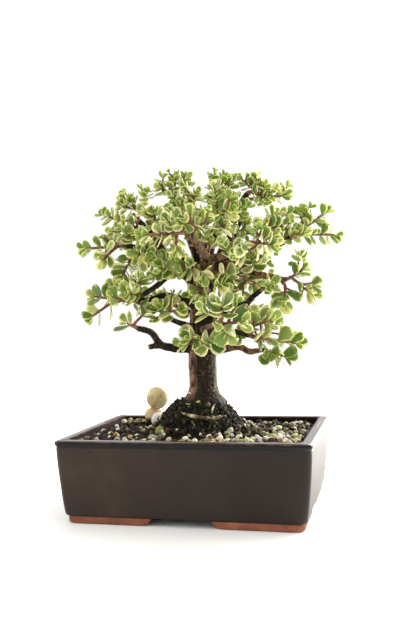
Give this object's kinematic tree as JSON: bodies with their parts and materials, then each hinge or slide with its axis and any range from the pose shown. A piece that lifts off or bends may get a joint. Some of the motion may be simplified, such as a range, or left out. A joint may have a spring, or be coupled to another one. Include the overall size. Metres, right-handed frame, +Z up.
{
  "type": "variegated dwarf jade bonsai",
  "caption": "Small variegated dwarf jade tree with a thick trunk and a round crown, growing in a glazed rectangular bonsai pot.",
  "frame": {"origin": "on the surface that the pot's feet stand on, under the middle of the box round pot and crown", "axes": "+Z up, +X along the pot's length to the right, +Y away from the pot's front"},
  "size_m": [0.2196, 0.1703, 0.2786],
  "materials": {
    "glazed_stoneware": "satin dark brown glaze, unglazed terracotta feet",
    "plastic_mesh": "moulded",
    "potting_mix": "loose, damp",
    "river_stone": "water-worn",
    "white_stone": "water-worn",
    "bark": "rough bark",
    "succulent_leaf": "smooth, waxy, cream-edged"
  },
  "bodies": {
    "root": {"pot": "glazed_stoneware", "drain_mesh_left": "plastic_mesh", "drain_mesh_right": "plastic_mesh", "soil": "potting_mix", "round_stone": "river_stone", "white_stone": "white_stone", "beige_stone": "river_stone", "wood": "bark", "spray_01": "succulent_leaf", "spray_02": "succulent_leaf", "spray_03": "succulent_leaf", "spray_04": "succulent_leaf", "spray_05": "succulent_leaf", "spray_06": "succulent_leaf", "spray_07": "succulent_leaf", "spray_08": "succulent_leaf", "spray_09": "succulent_leaf", "spray_10": "succulent_leaf", "spray_11": "succulent_leaf", "spray_12": "succulent_leaf", "spray_13": "succulent_leaf", "spray_14": "succulent_leaf", "spray_15": "succulent_leaf", "spray_16": "succulent_leaf", "spray_17": "succulent_leaf", "spray_18": "succulent_leaf", "spray_19": "succulent_leaf", "spray_20": "succulent_leaf", "spray_21": "succulent_leaf", "spray_22": "succulent_leaf", "spray_23": "succulent_leaf", "spray_24": "succulent_leaf", "spray_25": "succulent_leaf", "spray_26": "succulent_leaf", "spray_27": "succulent_leaf", "spray_28": "succulent_leaf", "spray_29": "succulent_leaf", "spray_30": "succulent_leaf", "spray_31": "succulent_leaf", "spray_32": "succulent_leaf", "spray_33": "succulent_leaf", "spray_34": "succulent_leaf", "spray_35": "succulent_leaf", "spray_36": "succulent_leaf", "spray_37": "succulent_leaf", "spray_38": "succulent_leaf", "spray_39": "succulent_leaf", "spray_40": "succulent_leaf", "spray_41": "succulent_leaf", "spray_42": "succulent_leaf", "spray_43": "succulent_leaf", "spray_44": "succulent_leaf", "spray_45": "succulent_leaf", "spray_46": "succulent_leaf", "spray_47": "succulent_leaf", "spray_48": "succulent_leaf", "spray_49": "succulent_leaf", "spray_50": "succulent_leaf", "spray_51": "succulent_leaf", "spray_52": "succulent_leaf"}
  },
  "joints": []
}
